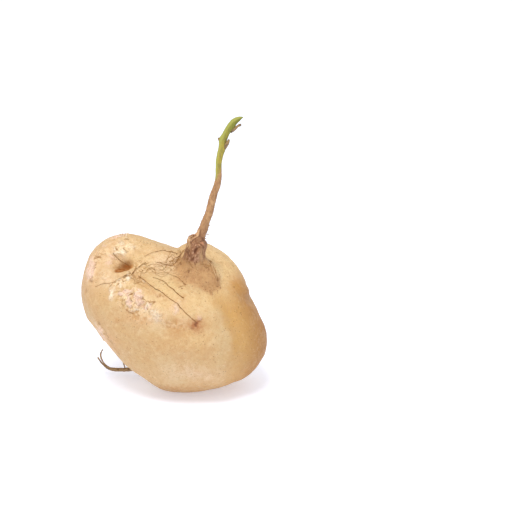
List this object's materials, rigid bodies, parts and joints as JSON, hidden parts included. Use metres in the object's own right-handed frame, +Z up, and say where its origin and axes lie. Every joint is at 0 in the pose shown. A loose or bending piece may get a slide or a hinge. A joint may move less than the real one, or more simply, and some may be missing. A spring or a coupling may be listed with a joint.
{
  "type": "jicama",
  "caption": "Whole lobed jicama tuber with a corky neck, a cut vine stem, leaf-stalk stubs, a woody side root and thin feeder roots, lying on a small flat of its skin.",
  "frame": {"origin": "on the flat patch of skin under the tuber, near the middle of the patch", "axes": "+Z up, along the stem's reach; +X along the tuber's width, towards the lower right lobe; -Y out of the broad front that shows the navel"},
  "size_m": [0.1204, 0.1026, 0.1831],
  "materials": {
    "skin": "satin",
    "bark": "matte",
    "root": "matte"
  },
  "bodies": {
    "root": {"tuber": "skin", "stem": "bark", "petiole_stub_low": "bark", "petiole_stub_high": "bark", "scale_low": "bark", "bark_flake": "bark", "tail_root": "root", "tail_root_fork": "root", "tail_rootlet": "root", "feeder_root_1": "root", "feeder_root_2": "root", "feeder_root_3": "root", "feeder_root_4": "root", "feeder_root_5": "root", "feeder_root_6": "root", "feeder_root_7": "root", "feeder_root_8": "root", "feeder_root_9": "root"}
  },
  "joints": []
}
